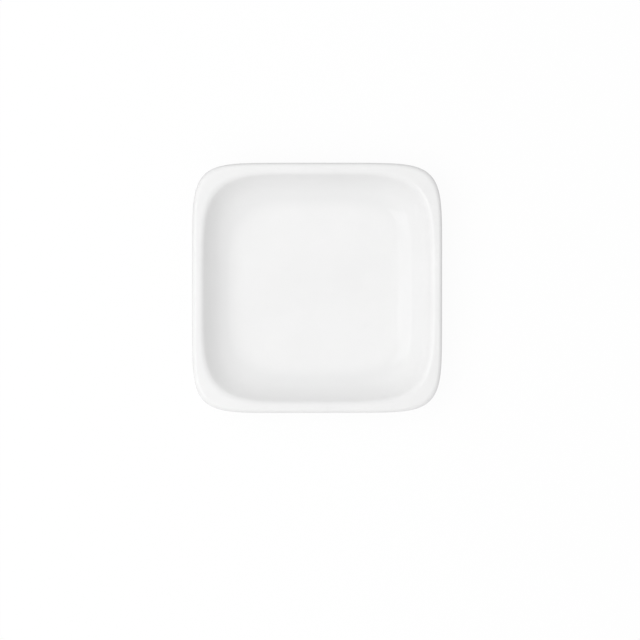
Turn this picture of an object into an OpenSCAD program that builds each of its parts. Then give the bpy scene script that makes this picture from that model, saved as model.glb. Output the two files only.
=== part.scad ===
// Square appetizer plate: one pressed and fired porcelain body with a coved well,
// a narrow rolled rim and a low foot ring, under a fused coat of clear glaze.
// Millimetres, +Z up. Origin: middle of the foot ring, on the table.
//
// The plate is described by one section, drawn through the middle of a side, from the
// centre of the underside, over the foot, up the outer wall, round the rim and down the
// well to the centre of its floor. Each point of the section becomes a ring. A ring is a
// rounded square whose squareness changes along the section: the rim's outline is the
// squarest, the well, wall and foot are rounder, so the rim is widest in its corners.

/* [Plate] */
// Width across two opposite sides, glaze included
plate_w = 110; // [104:1:116]
// Height from the table to the top of the rim, glaze included
plate_h = 19.6; // [18.6:0.2:21.4]
// Squareness of the rim's outline, higher is squarer
rim_square = 6.9; // [5.5:0.1:8.5]
// Squareness of the outer wall and the foot
wall_square = 4.3; // [3.8:0.1:5]

/* [Rim] */
// Width of the rim from its outer edge to the corner where the well begins
rim_w = 4.5; // [4.4:0.1:5.4]
// Rounding of the rim's outer top edge
lip_round = 1.9; // [1.4:0.1:1.9]
// Rounding of the rim's outer lower edge
lip_under_round = 2; // [1.6:0.1:2.5]
// Rounding of the rim's edge to the well
rim_inner_round = 2.8; // [2.2:0.1:4]
// Squareness of the rim's edge to the well
rim_inner_square = 4.7; // [4.2:0.1:5.4]

/* [Well] */
// Slope of the well's wall above the level, in degrees
well_slope = 62; // [60:1:63]
// Radius of the cove between the well's wall and the rise round its floor
cove_r = 14.6; // [12:0.2:14.8]
// Width of the flat part of the well's floor
floor_w = 62; // [56:1:63]
// Slope to which the floor rises at its edge, in degrees
dish_slope = 9; // [7:0.5:10]
// Radius of the bend from the flat floor to that rise
dish_r = 38; // [30:1:40]
// Thickness of the base under the floor, glaze included
base_t = 5.2; // [4.8:0.1:5.4]
// Squareness of the well's floor
floor_square = 4; // [3.6:0.1:4.6]

/* [Outer wall] */
// Slope of the flare under the rim above the level, in degrees
flare_slope = 32; // [30:1:33]
// Distance from the rim's outer edge in to the bend between flare and wall
flare_w = 5.1; // [4.8:0.1:5.3]
// Depth of that bend below the top of the rim
flare_drop = 6.9; // [6.8:0.1:7.3]
// Radius of the bend between wall and flare
flare_r = 6.5; // [4:0.5:9]

/* [Foot] */
// Width of the foot ring at the table, as a share of the plate's width
foot_share = 0.648; // [0.63:0.002:0.66]
// Height of the foot ring
foot_h = 2.2; // [1.9:0.1:2.4]
// Width of the face the foot ring stands on
foot_t = 2.2; // [1.8:0.1:2.8]
// How far the foot ring's outer face leans in, top to bottom
foot_lean = 1.6; // [1:0.1:1.8]
// Width of the ledge between the foot ring and the outer wall
ledge_w = 3; // [2.4:0.1:3.4]
// Rise of that ledge
ledge_rise = 1.25; // [1:0.05:1.5]
// Height of the hollow under the base, at the foot ring
recess_h = 2.9; // [2.5:0.1:3]
// Further rise of the hollow's roof at its middle
recess_rise = 0.3; // [0:0.1:0.4]

/* [Glaze] */
// Thickness of the fused glaze
glaze_t = 0.3; // [0.2:0.05:0.35]
// Height above the table up to which the foot ring is wiped bare
bare_h = 0.5; // [0.4:0.1:0.9]

/* [Facets] */
// Number of points round each ring, a multiple of 8
around = 64; // [48:8:64]

/* [Hidden] */

half = plate_w / 2;
foot_w = plate_w * foot_share;
floor_z = recess_h + base_t;

// ---- the glazed section's corners: [distance from the middle, height, rounding] ----
// The foot's own corners lie one glaze thickness low, so that the bare body under them
// stands on the table.
out_top = foot_w / 2 + foot_lean;
shoulder_z = foot_h + ledge_rise;
shoulder_h = out_top + ledge_w;
bend_h = half - flare_w;
bend_z = plate_h - flare_drop;
lip_low_z = bend_z + flare_w * tan(flare_slope);
corner_h = half - rim_w;
// the floor rises from its flat part at dish_h, and meets the well's wall at cove_h
dish_h = floor_w / 2 + dish_r * tan(dish_slope / 2);
cove_h = (floor_z - dish_h * tan(dish_slope) - plate_h + corner_h * tan(well_slope)) / (tan(well_slope) - tan(dish_slope));
cove_z = floor_z + (cove_h - dish_h) * tan(dish_slope);

section = [
  [0, recess_h + recess_rise, 0],
  [foot_w / 2 - foot_t - 1.2, recess_h, 1.0],
  [foot_w / 2 - foot_t - 0.3, -glaze_t, 0.6],
  [foot_w / 2 + 0.2, -glaze_t, 0.6],
  [out_top, foot_h, 0.6],
  [shoulder_h, shoulder_z, 1.4],
  [bend_h, bend_z, flare_r],
  [half, lip_low_z, lip_under_round],
  [half, plate_h, lip_round],
  [corner_h, plate_h, rim_inner_round],
  [cove_h, cove_z, cove_r],
  [dish_h, floor_z, dish_r],
  [0, floor_z, 0]
];
// steps in the rounding of each corner, and along the straight that follows it
round_steps = [0, 3, 3, 3, 2, 2, 2, 4, 6, 6, 7, 2, 0];
line_steps = [1, 2, 1, 2, 1, 3, 2, 1, 2, 1, 1, 1, 0];

// ---- rounding of the section ----
function unit(v) = v / norm(v);
function xy(p) = [p[0], p[1]];
function half_angle(i) =
  let (b = xy(section[i]), u = unit(xy(section[i - 1]) - b), v = unit(xy(section[i + 1]) - b))
  acos(u * v) / 2;
// the point where the rounding of corner i meets the straight towards corner j
function touch(i, j) =
  section[i][2] == 0 ? xy(section[i])
  : xy(section[i]) + unit(xy(section[j]) - xy(section[i])) * section[i][2] / tan(half_angle(i));
// the points of the rounding of corner i, each marked with i
function rounding(i) =
  section[i][2] == 0 ? [[section[i][0], section[i][1], i]]
  : let (
      b = xy(section[i]),
      u = unit(xy(section[i - 1]) - b),
      v = unit(xy(section[i + 1]) - b),
      c = b + unit(u + v) * section[i][2] / sin(half_angle(i)),
      p = touch(i, i - 1) - c,
      q = touch(i, i + 1) - c,
      a = atan2(p[1], p[0]),
      d0 = atan2(q[1], q[0]) - a,
      d = d0 > 180 ? d0 - 360 : d0 < -180 ? d0 + 360 : d0,
      k = round_steps[i]
    )
    [for (j = [0:k]) [c[0] + section[i][2] * cos(a + d * j / k), c[1] + section[i][2] * sin(a + d * j / k), i]];
// the points between the rounding of corner i and that of the next, marked half-way
function straight(i) =
  let (p = touch(i, i + 1), q = touch(i + 1, i), k = line_steps[i])
  [for (j = [1:1:k - 1]) let (m = p + (q - p) * line_at(i, j, k)) [m[0], m[1], i + 0.5]];
// where along a straight its points lie: on the foot's faces, at the edge of the glaze
function line_at(i, j, k) =
  i == 1 || i == 3
  ? let (p = touch(i, i + 1), q = touch(i + 1, i)) (bare_h - p[1]) / (q[1] - p[1])
  : j / k;

last = len(section) - 1;
glazed = [for (i = [0:last]) each concat(rounding(i), i < last ? straight(i) : [])];
count = len(glazed);
// first and last ring of each glaze: the one at the foot's outer face, the one at its inner face
edge_out = [for (i = [0:count - 1]) if (glazed[i][2] == 3.5) i][0];
edge_in = [for (i = [0:count - 1]) if (glazed[i][2] == 1.5) i][0];

// ---- squareness along the section ----
function clamp(v) = min(1, max(0, v));
function ease(v) = let (c = clamp(v)) c * c * (3 - 2 * c);
// stays near 0 for most of the way, then goes to 1 and ends level
function late(v) = let (c = clamp(v)) pow(c, 8) * (9 - 8 * c);
widest_z = touch(7, 8)[1];
land_out = touch(8, 9)[0];
land_in = touch(9, 8)[0];
function squareness(p) =
  p[2] <= 5 ? wall_square
  : p[2] < 8 ? wall_square + (rim_square - wall_square) * late((p[1] - shoulder_z) / (widest_z - shoulder_z))
  : p[2] == 8 ? rim_square
  : p[2] < 9 ? rim_square + (rim_inner_square - rim_square) * ease((land_out - p[0]) / (land_out - land_in))
  : rim_inner_square + (floor_square - rim_inner_square) * clamp((plate_h - p[1]) / (plate_h - floor_z));

// ---- the bare body's section: the glazed one moved in by the glaze ----
// outward normal of the section at point i
function along(i) =
  i == 0 ? [1, 0] : i == count - 1 ? [-1, 0]
  : unit(unit(xy(glazed[i]) - xy(glazed[i - 1])) + unit(xy(glazed[i + 1]) - xy(glazed[i])));
function normal(i) = let (t = along(i)) [t[1], -t[0]];
// the glaze thins out towards its two edges on the foot
function coat(i) =
  i == edge_out || i == edge_in ? 0.3 * glaze_t
  : i == edge_out + 1 || i == edge_in - 1 ? 0.7 * glaze_t
  : glaze_t;
body = [for (i = [0:count - 1]) let (m = xy(glazed[i]) - normal(i) * glaze_t) [max(0, m[0]), m[1], squareness(glazed[i])]];
skin = [for (i = [0:count - 1]) let (m = xy(body[i]) + normal(i) * coat(i)) [max(0, m[0]), m[1], squareness(glazed[i])]];

// ---- rings ----
// directions round a ring, closer together in the corners
function direction(k) = let (u = 360 * k / around) u + 10 * sin(4 * u);
// one ring of a section point [distance, height, squareness]
function ring(p) =
  [for (k = [0:around - 1])
    let (t = direction(k), n = p[2], r = p[0] / pow(pow(abs(cos(t)), n) + pow(abs(sin(t)), n), 1 / n))
    [r * cos(t), r * sin(t), p[1]]];
// points of the rings of a list of section points
function ring_points(s) = [for (p = s) each ring(p)];
// triangles between ring a and ring b of a stack
function band(a, b) =
  [for (k = [0:around - 1]) let (m = (k + 1) % around)
    each [[a * around + k, b * around + k, b * around + m], [a * around + k, b * around + m, a * around + m]]];
// triangles between ring a and the point with number c
function fan(a, c, up) =
  [for (k = [0:around - 1]) let (m = (k + 1) % around)
    up ? [a * around + k, c, a * around + m] : [a * around + m, c, a * around + k]];

// a solid bounded by the rings of an open section, closed at both ends on the axis
module turned(s) {
  n = len(s) - 2;
  rings = [for (i = [1:n]) s[i]];
  polyhedron(
    points = concat(ring_points(rings), [[0, 0, s[0][1]], [0, 0, s[n + 1][1]]]),
    faces = concat(
      fan(0, n * around, false),
      [for (i = [0:n - 2]) each band(i, i + 1)],
      fan(n - 1, n * around + 1, true)
    ),
    convexity = 6
  );
}

// a coat between a lower and an upper section that both end on the axis and are
// joined by a narrow edge at their other end
module coated(lower, upper) {
  n = len(lower) - 1;
  rings = concat([for (i = [n - 1:-1:0]) lower[i]], [for (i = [0:n - 1]) upper[i]]);
  polyhedron(
    points = concat(ring_points(rings), [[0, 0, lower[n][1]], [0, 0, upper[n][1]]]),
    faces = concat(
      fan(0, 2 * n * around, false),
      [for (i = [0:2 * n - 2]) each band(i, i + 1)],
      fan(2 * n - 1, 2 * n * around + 1, true)
    ),
    convexity = 6
  );
}

// the block of space above the table that the plate lies in
module envelope() {
  translate([-plate_w, -plate_w, 0]) cube([2 * plate_w, 2 * plate_w, plate_h + 5]);
}

// the pressed and fired body, bare where its foot ring, ground flat, stands on the table
module porcelain_body() {
  color([0.90, 0.89, 0.86])
    intersection() {
      turned(body);
      envelope();
    }
}

// the coat over well, rim, outer wall and the upper part of the foot's outer face
module glaze_coat() {
  color([0.95, 0.95, 0.95])
    intersection() {
      coated(
        [for (i = [edge_out:count - 1]) body[i]],
        [for (i = [edge_out:count - 1]) skin[i]]
      );
      envelope();
    }
}

// the coat under the base, inside the foot ring
module base_glaze() {
  color([0.95, 0.95, 0.95])
    coated(
      [for (i = [edge_in:-1:0]) skin[i]],
      [for (i = [edge_in:-1:0]) body[i]]
    );
}

porcelain_body();
glaze_coat();
base_glaze();
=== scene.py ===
"""Looks of a small square porcelain plate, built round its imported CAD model.

The CAD section is drawn again with many more points, so that rim, cove and corners are smooth.
Lengths in the section are millimetres; every mesh is in metres, in the CAD's frame.
"""

import math

import bpy
import numpy as np
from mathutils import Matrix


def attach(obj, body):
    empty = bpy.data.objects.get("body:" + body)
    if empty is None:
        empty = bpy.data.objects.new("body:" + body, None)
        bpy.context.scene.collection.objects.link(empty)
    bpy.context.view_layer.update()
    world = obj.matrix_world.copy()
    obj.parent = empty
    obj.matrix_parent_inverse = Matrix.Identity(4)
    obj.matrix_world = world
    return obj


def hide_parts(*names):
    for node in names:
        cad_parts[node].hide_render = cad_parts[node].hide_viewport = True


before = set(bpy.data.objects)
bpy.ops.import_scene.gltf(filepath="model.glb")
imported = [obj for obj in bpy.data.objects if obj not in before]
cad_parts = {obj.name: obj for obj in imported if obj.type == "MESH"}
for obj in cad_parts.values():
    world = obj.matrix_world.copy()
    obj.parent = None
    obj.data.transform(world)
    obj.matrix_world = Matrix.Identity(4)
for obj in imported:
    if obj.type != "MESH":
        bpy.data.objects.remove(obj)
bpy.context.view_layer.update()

# ------------------------------------------------------------------ section, as in the CAD
PLATE_W, PLATE_H = 110.0, 19.6
RIM_SQUARE, WALL_SQUARE, RIM_INNER_SQUARE, FLOOR_SQUARE = 6.9, 4.3, 4.7, 4.0
RIM_W, LIP_ROUND, LIP_UNDER_ROUND, RIM_INNER_ROUND = 4.5, 1.9, 2.0, 2.8
WELL_SLOPE, COVE_R, BASE_T = 62.0, 14.6, 5.2
FLOOR_W, DISH_SLOPE, DISH_R = 62.0, 9.0, 38.0
FLARE_SLOPE, FLARE_W, FLARE_DROP, FLARE_R = 32.0, 5.1, 6.9, 6.5
FOOT_SHARE, FOOT_H, FOOT_T, FOOT_LEAN = 0.648, 2.2, 2.2, 1.6
LEDGE_W, LEDGE_RISE = 3.0, 1.25
RECESS_H, RECESS_RISE = 2.9, 0.3
GLAZE_T, BARE_H = 0.3, 0.5

half = PLATE_W / 2
foot_w = PLATE_W * FOOT_SHARE
floor_z = RECESS_H + BASE_T
out_top = foot_w / 2 + FOOT_LEAN
shoulder_z = FOOT_H + LEDGE_RISE
shoulder_h = out_top + LEDGE_W
bend_h, bend_z = half - FLARE_W, PLATE_H - FLARE_DROP
lip_low_z = bend_z + FLARE_W * math.tan(math.radians(FLARE_SLOPE))
corner_h = half - RIM_W
dish_rise, well_rise = math.tan(math.radians(DISH_SLOPE)), math.tan(math.radians(WELL_SLOPE))
dish_h = FLOOR_W / 2 + DISH_R * math.tan(math.radians(DISH_SLOPE / 2))
cove_h = (floor_z - dish_h * dish_rise - PLATE_H + corner_h * well_rise) / (well_rise - dish_rise)
cove_z = floor_z + (cove_h - dish_h) * dish_rise

SECTION = np.array([
    (0, RECESS_H + RECESS_RISE, 0),
    (foot_w / 2 - FOOT_T - 1.2, RECESS_H, 1.0),
    (foot_w / 2 - FOOT_T - 0.3, -GLAZE_T, 0.6),
    (foot_w / 2 + 0.2, -GLAZE_T, 0.6),
    (out_top, FOOT_H, 0.6),
    (shoulder_h, shoulder_z, 1.4),
    (bend_h, bend_z, FLARE_R),
    (half, lip_low_z, LIP_UNDER_ROUND),
    (half, PLATE_H, LIP_ROUND),
    (corner_h, PLATE_H, RIM_INNER_ROUND),
    (cove_h, cove_z, COVE_R),
    (dish_h, floor_z, DISH_R),
    (0, floor_z, 0),
])


def unit(v):
    return v / np.linalg.norm(v)


def touch(i, j):
    """Where the rounding of corner i meets the straight towards corner j."""
    b, r = SECTION[i, :2], SECTION[i, 2]
    if r == 0:
        return b.copy()
    u, v = unit(SECTION[i - 1, :2] - b), unit(SECTION[i + 1, :2] - b)
    turn = math.acos(float(np.clip(u @ v, -1, 1))) / 2
    return b + unit(SECTION[j, :2] - b) * r / math.tan(turn)


widest_z = touch(7, 8)[1]
land_out, land_in = touch(8, 9)[0], touch(9, 8)[0]


def squareness(h, z, mark):
    """Exponent of the rounded square at a point of the section."""
    if mark <= 5:
        return WALL_SQUARE
    if mark < 8:
        u = min(1.0, max(0.0, (z - shoulder_z) / (widest_z - shoulder_z)))
        return WALL_SQUARE + (RIM_SQUARE - WALL_SQUARE) * u**8 * (9 - 8 * u)
    if mark == 8:
        return RIM_SQUARE
    if mark < 9:
        u = min(1.0, max(0.0, (land_out - h) / (land_out - land_in)))
        return RIM_SQUARE + (RIM_INNER_SQUARE - RIM_SQUARE) * u * u * (3 - 2 * u)
    u = min(1.0, max(0.0, (PLATE_H - z) / (PLATE_H - floor_z)))
    return RIM_INNER_SQUARE + (FLOOR_SQUARE - RIM_INNER_SQUARE) * u


def glazed_section():
    """Rows of (distance, height, squareness, normal's distance, normal's height, mark)."""
    rows = []

    def add(p, t, mark):
        rows.append((p[0], p[1], squareness(p[0], p[1], mark), t[1], -t[0], mark))

    last = len(SECTION) - 1
    for i in range(last + 1):
        b, r = SECTION[i, :2], SECTION[i, 2]
        if r == 0:
            add(b, np.array((1.0, 0.0)) if i == 0 else np.array((-1.0, 0.0)), i)
        else:
            u, v = unit(SECTION[i - 1, :2] - b), unit(SECTION[i + 1, :2] - b)
            turn = math.acos(float(np.clip(u @ v, -1, 1))) / 2
            c = b + unit(u + v) * r / math.sin(turn)
            p, q = touch(i, i - 1) - c, touch(i, i + 1) - c
            a = math.atan2(p[1], p[0])
            d = math.atan2(q[1], q[0]) - a
            d = d - 2 * math.pi if d > math.pi else d + 2 * math.pi if d < -math.pi else d
            steps = max(5, int(abs(math.degrees(d)) / 3.2), int(abs(d) * r / 0.5))
            for k in range(steps + 1):
                w = a + d * k / steps
                tangent = np.array((-math.sin(w), math.cos(w))) * math.copysign(1, d)
                add(c + r * np.array((math.cos(w), math.sin(w))), tangent, i)
        if i < last:
            p, q = touch(i, i + 1), touch(i + 1, i)
            length = np.linalg.norm(q - p)
            step = 2.2 if i in (0, 11) else 0.16 if i in (1, 3) else 0.45
            k = max(2, int(length / step))
            for j in range(1, k):
                add(p + (q - p) * j / k, (q - p) / length, i + 0.5)
    return np.array(rows)


G = glazed_section()
BODY = G.copy()  # the bare body lies one glaze thickness inside
BODY[:, 0] = np.maximum(0, G[:, 0] - G[:, 3] * GLAZE_T)
BODY[:, 1] = G[:, 1] - G[:, 4] * GLAZE_T
RUN = np.concatenate([[0], np.cumsum(np.hypot(*np.diff(BODY[:, :2], axis=0).T))])


def run_at(mark_low, mark_high, height):
    """Length along the section where the body, between two marks, is at a height."""
    k = np.where((G[:, 5] >= mark_low) & (G[:, 5] <= mark_high))[0]
    z, s = BODY[k, 1], RUN[k]
    order = np.argsort(z)
    return float(np.interp(height, z[order], s[order]))


def body_at(s):
    """Rows of the body's section at lengths s."""
    out = np.stack([np.interp(s, RUN, BODY[:, c]) for c in range(5)], -1)
    out[..., 3:5] /= np.linalg.norm(out[..., 3:5], axis=-1, keepdims=True)
    return out


# ------------------------------------------------------------------ rings
AROUND = 288
_u = np.linspace(0, 2 * np.pi, AROUND, endpoint=False)
THETA = _u + math.radians(7) * np.sin(4 * _u)


def ring_xy(h, n):
    """Points of rounded squares of half widths h and exponents n, one direction after another."""
    c, s = np.abs(np.cos(THETA)), np.abs(np.sin(THETA))
    r = h / (c**n + s**n) ** (1 / n)
    return r * np.cos(THETA), r * np.sin(THETA)


def settle(p):
    """The small unevenness of a pressed and fired plate: never outside its true form, none at the foot."""
    x, y, z = p[..., 0], p[..., 1], p[..., 2]
    t = np.arctan2(y, x)
    out = np.hypot(x, y) / 55.0
    up = np.clip(z / PLATE_H, 0, 1)
    sway = 0.5 + 0.26 * np.sin(2 * t + 0.7) + 0.14 * np.sin(3 * t + 2.1) + 0.08 * np.sin(5 * t + 4.0)
    pull = 0.5 + 0.24 * np.sin(2 * t + 2.4) + 0.16 * np.sin(3 * t + 5.0) + 0.08 * np.sin(7 * t + 1.3)
    shrink = 1 - 0.0022 * pull * up * np.clip(out, 0, 1.3)
    return np.stack([x * shrink, y * shrink, z - 0.13 * sway * up**2 * np.clip(out, 0, 1.3)], -1)


def make_mesh(name, points, faces, pool_shade=None):
    mesh = bpy.data.meshes.new(name)
    mesh.from_pydata((points * 0.001).tolist(), [], faces)
    mesh.validate()
    mesh.shade_smooth()
    if pool_shade is not None:
        # share of greyer glaze per point: pooled glaze, and painted shade in the hollows and under the rim
        a = mesh.attributes.new("pooled_and_shade", "FLOAT", "POINT")
        a.data.foreach_set("value", np.asarray(pool_shade, np.float32))
    obj = bpy.data.objects.new(name, mesh)
    bpy.context.scene.collection.objects.link(obj)
    return obj


def stack_faces(rings, wrap=False):
    """Quads between rings of a stack, turned so that they face away from the ring before."""
    faces = []
    for i in range(rings - 1):
        a, b = i * AROUND, (i + 1) * AROUND
        for k in range(AROUND):
            m = (k + 1) % AROUND
            faces.append((a + k, a + m, b + m, b + k))
    return faces


def cap(ring, point, first):
    a = ring * AROUND
    if first:
        return [(a + (k + 1) % AROUND, a + k, point) for k in range(AROUND)]
    return [(a + k, a + (k + 1) % AROUND, point) for k in range(AROUND)]


def rings_of(section):
    """section: rows of (distance, height, squareness) or, per direction, an array rows x AROUND x 3."""
    out = []
    for row in section:
        h, z, n = (row[..., 0], row[..., 1], row[..., 2])
        x, y = ring_xy(np.broadcast_to(h, AROUND), np.broadcast_to(n, AROUND))
        out.append(np.stack([x, y, np.broadcast_to(z, AROUND)], -1))
    return np.array(out)


# ------------------------------------------------------------------ the three pieces
S_END = RUN[-1]
S_OUT = run_at(3.0, 4.0, BARE_H)  # edge of the coat on the foot's outer face
S_IN = run_at(1.0, 2.0, BARE_H)  # edge of the base's glaze on the foot's inner face

# the glaze's edge was wiped by hand and wavers a little
waver_out = 0.10 * np.sin(5 * THETA + 0.4) + 0.06 * np.sin(11 * THETA + 2.0) + 0.035 * np.sin(23 * THETA + 4.1)
waver_in = 0.09 * np.sin(4 * THETA + 1.9) + 0.06 * np.sin(9 * THETA + 0.3) + 0.04 * np.sin(19 * THETA + 5.2)


def thickness(s):
    """Glaze thickness at length s from the glaze's edge: a rounded edge with a slight roll behind it."""
    u = np.clip(s / 0.45, 0, 1)
    edge = np.sqrt(1 - (1 - u) ** 2)
    roll = 1 + 0.22 * np.exp(-(((s - 0.5) / 0.28) ** 2))
    return 0.02 + (GLAZE_T - 0.02) * edge * np.where(s < 2.0, roll, 1.0)


def coat(name, edge, end, waver):
    """A closed coat on the body's section from the glaze's edge to the axis."""
    way = 1 if end > edge else -1
    inside = RUN[(RUN - edge) * way > 0.9]
    inside = inside[(end - inside) * way > 0.6]
    lead = edge + way * np.array([0, 0.015, 0.04, 0.08, 0.13, 0.19, 0.26, 0.34, 0.43, 0.53, 0.64, 0.76, 0.89])
    base = np.concatenate([lead, inside if way > 0 else inside[::-1]])
    s_from = np.abs(base - edge)
    shift = np.clip(1 - s_from / 1.6, 0, 1) ** 2
    s = base[:, None] + shift[:, None] * waver[None, :]
    rows = body_at(s)  # rings x around x 5
    t = np.repeat(thickness(s_from)[:, None], AROUND, 1)
    under = rows[..., :3]
    over = rows[..., :3].copy()
    over[..., 0] += rows[..., 3] * t
    over[..., 1] += rows[..., 4] * t
    end_row = body_at(np.array([end]))[0]
    n = len(base)
    order = np.concatenate([under[::-1], over])
    points = rings_of(order).reshape(-1, 3)
    tip_z = np.array([end_row[1], end_row[1] + end_row[4] * GLAZE_T])
    points = np.concatenate([points, np.stack([np.zeros(2), np.zeros(2), tip_z], -1)])
    faces = cap(0, 2 * n * AROUND, True) + stack_faces(2 * n) + cap(2 * n - 1, 2 * n * AROUND + 1, False)
    if way < 0:
        faces = [f[::-1] for f in faces]
    # where the glaze runs together it is greyer: the cove, the foot's corner, under the rim, and the roll at its
    # edge; in the cove, the foot's corner and under the rim this greyer glaze is also painted shade
    h, z = over[..., 0], over[..., 1]
    pool_and_shade = np.zeros_like(h)
    if way > 0:
        inner = (base > run_at(8.0, 9.0, PLATE_H - GLAZE_T - 0.01))[:, None]
        pool_and_shade += inner * np.exp(-(((h - 0.5 * (dish_h + cove_h)) / 4.5) ** 2))
        pool_and_shade += ~inner * 0.9 * np.exp(-(((z - FOOT_H - 0.2) / 0.8) ** 2))
        pool_and_shade += ~inner * 0.45 * np.exp(-(((z - bend_z - 0.6) / 1.4) ** 2))
        pool_and_shade -= 0.8 * np.exp(-(((h - 53.8) / 1.1) ** 2)) * (z > 17.0)
    else:
        # in the corner inside the foot ring: greyer glaze, partly pooled glaze and partly painted shade
        pool_and_shade += np.exp(-(((h - foot_w / 2 + FOOT_T + 1.5) / 1.1) ** 2))
    pool_and_shade += 0.5 * np.exp(-(((s_from[:, None] - 0.45) / 0.3) ** 2))
    pooled_and_shade = np.concatenate([np.zeros_like(pool_and_shade), pool_and_shade]).reshape(-1)
    pooled_and_shade = np.concatenate([pooled_and_shade, [0.0, 0.0]])
    return make_mesh(name, settle(points), faces, pooled_and_shade)


def fired_body(name):
    """The whole body, its foot ground flat on the table."""
    keep = [0]
    for i in range(1, len(RUN) - 1):
        if RUN[i] - RUN[keep[-1]] > 0.05:
            keep.append(i)
    rows = BODY[keep[1:]][:, :3].copy()
    rows[:, 1] = np.maximum(rows[:, 1], 0)
    n = len(rows)
    points = rings_of(rows).reshape(-1, 3)
    points = np.concatenate([points, [(0, 0, BODY[0, 1]), (0, 0, BODY[-1, 1])]])
    faces = cap(0, n * AROUND, True) + stack_faces(n) + cap(n - 1, n * AROUND + 1, False)
    return make_mesh(name, settle(points), faces)


glaze_coat = coat("glaze_coat_smooth", S_OUT, S_END, waver_out)
base_glaze = coat("base_glaze_smooth", S_IN, 0.0, waver_in)
body = fired_body("porcelain_body_smooth")


# ------------------------------------------------------------------ materials
def new_material(name):
    m = bpy.data.materials.new(name)
    m.use_nodes = True
    nodes, links = m.node_tree.nodes, m.node_tree.links
    nodes.clear()
    out = nodes.new("ShaderNodeOutputMaterial")
    shader = nodes.new("ShaderNodeBsdfPrincipled")
    links.new(shader.outputs[0], out.inputs[0])
    return m, nodes, links, shader


def noise(nodes, links, coords, scale, detail, rough=0.5):
    n = nodes.new("ShaderNodeTexNoise")
    n.inputs["Scale"].default_value = scale
    n.inputs["Detail"].default_value = detail
    n.inputs["Roughness"].default_value = rough
    links.new(coords, n.inputs["Vector"])
    return n.outputs["Fac"]


def ramp(nodes, links, value, stops):
    r = nodes.new("ShaderNodeValToRGB")
    e = r.color_ramp.elements
    while len(e) < len(stops):
        e.new(0.5)
    for k, (at, c) in enumerate(stops):
        e[k].position = at
        e[k].color = (*c, 1) if isinstance(c, tuple) else (c, c, c, 1)
    links.new(value, r.inputs["Fac"])
    return r.outputs["Color"]


def mix(nodes, links, factor, a, b):
    m = nodes.new("ShaderNodeMix")
    m.data_type = "RGBA"
    m.clamp_factor = True
    links.new(factor, m.inputs["Factor"])
    for socket, v in ((m.inputs["A"], a), (m.inputs["B"], b)):
        links.new(v, socket)
    return m.outputs["Result"]


def map_range(nodes, links, value, low, high, to_low, to_high, soft=False):
    m = nodes.new("ShaderNodeMapRange")
    m.clamp = True
    m.interpolation_type = "SMOOTHSTEP" if soft else "LINEAR"
    for k, v in zip(("From Min", "From Max", "To Min", "To Max"), (low, high, to_low, to_high)):
        m.inputs[k].default_value = v
    links.new(value, m.inputs["Value"])
    return m.outputs["Result"]


def glaze_material():
    m, nodes, links, shader = new_material("white_glaze")
    tc = nodes.new("ShaderNodeTexCoord").outputs["Object"]
    # body colour through the glaze: clouds of slightly different white
    cloud = noise(nodes, links, tc, 38, 4, 0.55)
    white = ramp(nodes, links, cloud, [(0.3, (0.888, 0.888, 0.887)), (0.7, (0.914, 0.914, 0.913))])
    # thicker glaze is a touch greyer and cooler; in the hollows and under the rim this greyer glaze is also
    # painted shade
    pooled_and_shade = nodes.new("ShaderNodeAttribute")
    pooled_and_shade.attribute_name = "pooled_and_shade"
    deep_shade = ramp(nodes, links, pooled_and_shade.outputs["Fac"], [(0.0, (0.903, 0.903, 0.902)), (1.0, (0.852, 0.854, 0.854))])
    share = map_range(nodes, links, pooled_and_shade.outputs["Fac"], 0.0, 1.2, 0.0, 0.75)
    white = mix(nodes, links, share, white, deep_shade)
    # a few fine fired-in specks
    cells = nodes.new("ShaderNodeTexVoronoi")
    cells.inputs["Scale"].default_value = 150
    cells.inputs["Randomness"].default_value = 1.0
    links.new(tc, cells.inputs["Vector"])
    split = nodes.new("ShaderNodeSeparateColor")
    links.new(cells.outputs["Color"], split.inputs["Color"])
    some = map_range(nodes, links, split.outputs[0], 0.90, 0.97, 0.0, 0.55)
    near = map_range(nodes, links, cells.outputs["Distance"], 0.018, 0.045, 1.0, 0.0)
    both = nodes.new("ShaderNodeMath")
    both.operation = "MULTIPLY"
    links.new(some, both.inputs[0])
    links.new(near, both.inputs[1])
    speck = ramp(nodes, links, split.outputs[1], [(0.0, (0.50, 0.48, 0.45)), (1.0, (0.66, 0.65, 0.63))])
    white = mix(nodes, links, both.outputs[0], white, speck)
    links.new(white, shader.inputs["Base Color"])
    # gloss: even, with slightly drier patches
    rough = noise(nodes, links, tc, 95, 5, 0.6)
    links.new(map_range(nodes, links, rough, 0.25, 0.75, 0.06, 0.11), shader.inputs["Roughness"])
    shader.inputs["IOR"].default_value = 1.5
    # faint unevenness of the glaze: broad flow and fine peel
    flow = noise(nodes, links, tc, 75, 2, 0.5)
    peel = noise(nodes, links, tc, 420, 3, 0.5)
    b1 = nodes.new("ShaderNodeBump")
    b1.inputs["Strength"].default_value = 1.0
    b1.inputs["Distance"].default_value = 0.00006
    links.new(flow, b1.inputs["Height"])
    b2 = nodes.new("ShaderNodeBump")
    b2.inputs["Strength"].default_value = 1.0
    b2.inputs["Distance"].default_value = 0.000006
    links.new(peel, b2.inputs["Height"])
    links.new(b1.outputs["Normal"], b2.inputs["Normal"])
    links.new(b2.outputs["Normal"], shader.inputs["Normal"])
    return m


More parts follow.
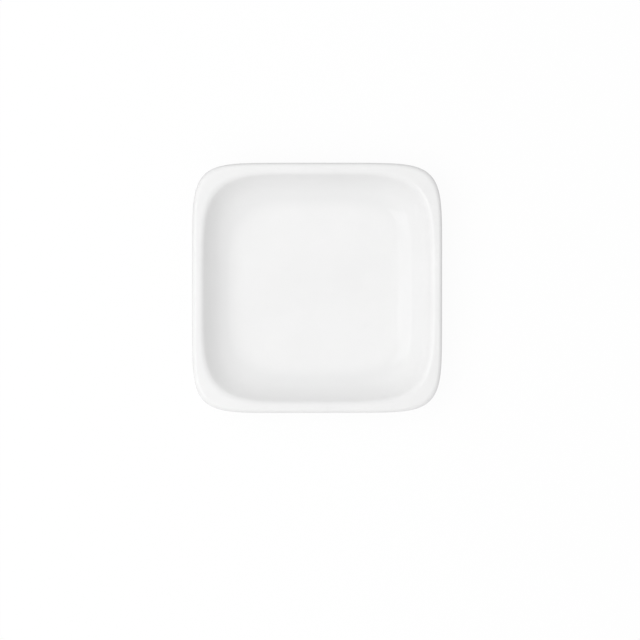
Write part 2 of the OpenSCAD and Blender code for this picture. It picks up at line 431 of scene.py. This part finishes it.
def biscuit_material():
    m, nodes, links, shader = new_material("bare_porcelain")
    tc = nodes.new("ShaderNodeTexCoord").outputs["Object"]
    cloud = noise(nodes, links, tc, 120, 5, 0.6)
    tone = ramp(nodes, links, cloud, [(0.25, (0.735, 0.725, 0.70)), (0.75, (0.81, 0.80, 0.78))])
    # grey rubbed in, in short strokes, only on the standing face
    place = nodes.new("ShaderNodeSeparateXYZ")
    links.new(tc, place.inputs[0])
    standing = map_range(nodes, links, place.outputs["Z"], 0.00002, 0.00016, 1.0, 0.0)
    stroke = nodes.new("ShaderNodeMapping")
    stroke.inputs["Scale"].default_value = (2400, 700, 900)
    stroke.inputs["Rotation"].default_value = (0, 0, 0.6)
    links.new(tc, stroke.inputs["Vector"])
    rubbed = noise(nodes, links, stroke.outputs["Vector"], 1.0, 3, 0.6)
    grey = ramp(nodes, links, rubbed, [(0.0, (0.50, 0.49, 0.475)), (1.0, (0.60, 0.59, 0.57))])
    worn = nodes.new("ShaderNodeMath")
    worn.operation = "MULTIPLY"
    links.new(map_range(nodes, links, rubbed, 0.5, 0.72, 0.0, 0.45), worn.inputs[0])
    links.new(standing, worn.inputs[1])
    tone = mix(nodes, links, worn.outputs[0], tone, grey)
    links.new(tone, shader.inputs["Base Color"])
    grain = noise(nodes, links, tc, 2600, 4, 0.65)
    links.new(map_range(nodes, links, grain, 0.3, 0.7, 0.62, 0.85), shader.inputs["Roughness"])
    bump = nodes.new("ShaderNodeBump")
    bump.inputs["Strength"].default_value = 0.8
    bump.inputs["Distance"].default_value = 0.00004
    links.new(grain, bump.inputs["Height"])
    links.new(bump.outputs["Normal"], shader.inputs["Normal"])
    return m


glaze, biscuit = glaze_material(), biscuit_material()
for obj, node, material, slot in (
    (glaze_coat, "glaze_coat", glaze, "glaze"),
    (base_glaze, "base_glaze", glaze, "glaze"),
    (body, "porcelain_body", biscuit, "biscuit"),
):
    obj.data.materials.append(material)
    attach(obj, "root")
    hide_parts(node)


# ------------------------------------------------------------------ stage, light, camera
def area(name, tilt, turn, distance, size, size_y, radiance):
    """A soft box that looks at the plate, tilt degrees from straight above, towards turn (0 is +X, 90 is +Y)."""
    light = bpy.data.lights.new(name, "AREA")
    light.shape = "RECTANGLE"
    light.size, light.size_y = size, size_y
    light.energy = radiance * math.pi * size * size_y
    obj = bpy.data.objects.new(name, light)
    bpy.context.scene.collection.objects.link(obj)
    a, b = math.radians(tilt), math.radians(turn)
    obj.location = (
        distance * math.sin(a) * math.cos(b),
        distance * math.sin(a) * math.sin(b),
        distance * math.cos(a),
    )
    obj.rotation_euler = (0, a, b)
    return obj


# a soft box on the left, and a wider fill round it that gives no highlight of its own
area("key_left", 28, 185, 0.90, 0.55, 0.55, 1.04)
area("fill_left", 30, 185, 0.92, 0.86, 1.70, 0.773).visible_glossy = False

floor = bpy.data.meshes.new("floor")
floor.from_pydata([(-3, -3, 0), (3, -3, 0), (3, 3, 0), (-3, 3, 0)], [], [(0, 1, 2, 3)])
floor_obj = bpy.data.objects.new("floor", floor)
bpy.context.scene.collection.objects.link(floor_obj)
# the floor's glow is painted bounce light: it lights the plate as a small white table in a dim room would,
# brighter on its near side and close round the plate, and the floor is itself shown white and nearly free of
# shadow
fm, fnodes, flinks, fshader = new_material("pale_floor")
fshader.inputs["Base Color"].default_value = (0.3, 0.3, 0.3, 1)
fshader.inputs["Roughness"].default_value = 0.9
fshader.inputs["Emission Color"].default_value = (1, 1, 1, 1)
f_xyz, f_ring, f_glow = (fnodes.new("ShaderNode" + k) for k in ("SeparateXYZ", "Math", "Math"))
flinks.new(fnodes.new("ShaderNodeNewGeometry").outputs["Position"], f_xyz.inputs[0])
f_ring.operation, f_glow.operation = "MAXIMUM", "ADD"
for k, axis in enumerate("XY"):
    f_abs = fnodes.new("ShaderNodeMath")
    f_abs.operation = "ABSOLUTE"
    flinks.new(f_xyz.outputs[axis], f_abs.inputs[0])
    flinks.new(f_abs.outputs[0], f_ring.inputs[k])
f_near = map_range(fnodes, flinks, f_ring.outputs[0], 0.056, 0.092, 0.32, 0.0, soft=True)
f_front = map_range(fnodes, flinks, f_xyz.outputs["Y"], -0.11, 0.11, 0.43, 0.05, soft=True)
flinks.new(f_near, f_glow.inputs[0])
flinks.new(f_front, f_glow.inputs[1])
# painted shadow: less of the glow under the plate, where the table would lie in its shade
f_open = fnodes.new("ShaderNodeMath")
f_open.operation = "MULTIPLY"
flinks.new(f_glow.outputs[0], f_open.inputs[0])
flinks.new(map_range(fnodes, flinks, f_ring.outputs[0], 0.034, 0.054, 0.65, 1.0, soft=True), f_open.inputs[1])
flinks.new(f_open.outputs[0], fshader.inputs["Emission Strength"])
fseen = fnodes.new("ShaderNodeBsdfPrincipled")
fseen.inputs["Base Color"].default_value = (0.08, 0.08, 0.08, 1)
fseen.inputs["Roughness"].default_value = 1.0
fseen.inputs["Specular IOR Level"].default_value = 0.0
fseen.inputs["Emission Color"].default_value = (1, 1, 1, 1)
fseen.inputs["Emission Strength"].default_value = 0.918
fpath, fmix = fnodes.new("ShaderNodeLightPath"), fnodes.new("ShaderNodeMixShader")
flinks.new(fpath.outputs["Is Camera Ray"], fmix.inputs["Fac"])
flinks.new(fshader.outputs[0], fmix.inputs[1])
flinks.new(fseen.outputs[0], fmix.inputs[2])
flinks.new(fmix.outputs[0], next(n for n in fnodes if n.type == "OUTPUT_MATERIAL").inputs["Surface"])
floor.materials.append(fm)

world = bpy.data.worlds.new("studio")
bpy.context.scene.world = world
world.use_nodes = True
wn, wl = world.node_tree.nodes, world.node_tree.links
wn.clear()
w_out = wn.new("ShaderNodeOutputWorld")
w_mix = wn.new("ShaderNodeMixShader")
w_path = wn.new("ShaderNodeLightPath")
w_light = wn.new("ShaderNodeBackground")
w_seen = wn.new("ShaderNodeBackground")
w_light.inputs["Color"].default_value = (1, 1, 1, 1)
# the room is darker towards the horizon
w_dir, w_xyz, w_rise = wn.new("ShaderNodeTexCoord"), wn.new("ShaderNodeSeparateXYZ"), wn.new("ShaderNodeMapRange")
w_rise.inputs["To Min"].default_value = 0.583
w_rise.inputs["To Max"].default_value = 0.724
wl.new(w_dir.outputs["Generated"], w_xyz.inputs[0])
wl.new(w_xyz.outputs["Z"], w_rise.inputs["Value"])
wl.new(w_rise.outputs["Result"], w_light.inputs["Strength"])
w_seen.inputs["Color"].default_value = (1, 1, 1, 1)
w_seen.inputs["Strength"].default_value = 1.0
wl.new(w_path.outputs["Is Camera Ray"], w_mix.inputs["Fac"])
wl.new(w_light.outputs[0], w_mix.inputs[1])
wl.new(w_seen.outputs[0], w_mix.inputs[2])
wl.new(w_mix.outputs[0], w_out.inputs["Surface"])

scene = bpy.context.scene
scene.view_settings.view_transform = "Standard"
scene.view_settings.look = "None"
scene.view_settings.exposure = 0.0
scene.view_settings.gamma = 1.0

# straight above the plate; the shift puts it where the photograph has it
CAMERA_UP = 0.95  # above the rim
FIELD = 0.110 * 640 / 250.8  # width of the picture at the rim, in metres
cam = bpy.data.cameras.new("camera")
cam.sensor_width = 36.0
cam.lens = 36.0 * CAMERA_UP / FIELD
cam.shift_x = (319.5 - 316.6) / 640
cam.shift_y = -(319.5 - 287.4) / 640
cam.clip_start, cam.clip_end = 0.01, 20
cam_obj = bpy.data.objects.new("camera", cam)
scene.collection.objects.link(cam_obj)
cam_obj.location = (0, 0, PLATE_H * 0.001 + CAMERA_UP)
cam_obj.rotation_euler = (0, 0, 0)
scene.camera = cam_obj
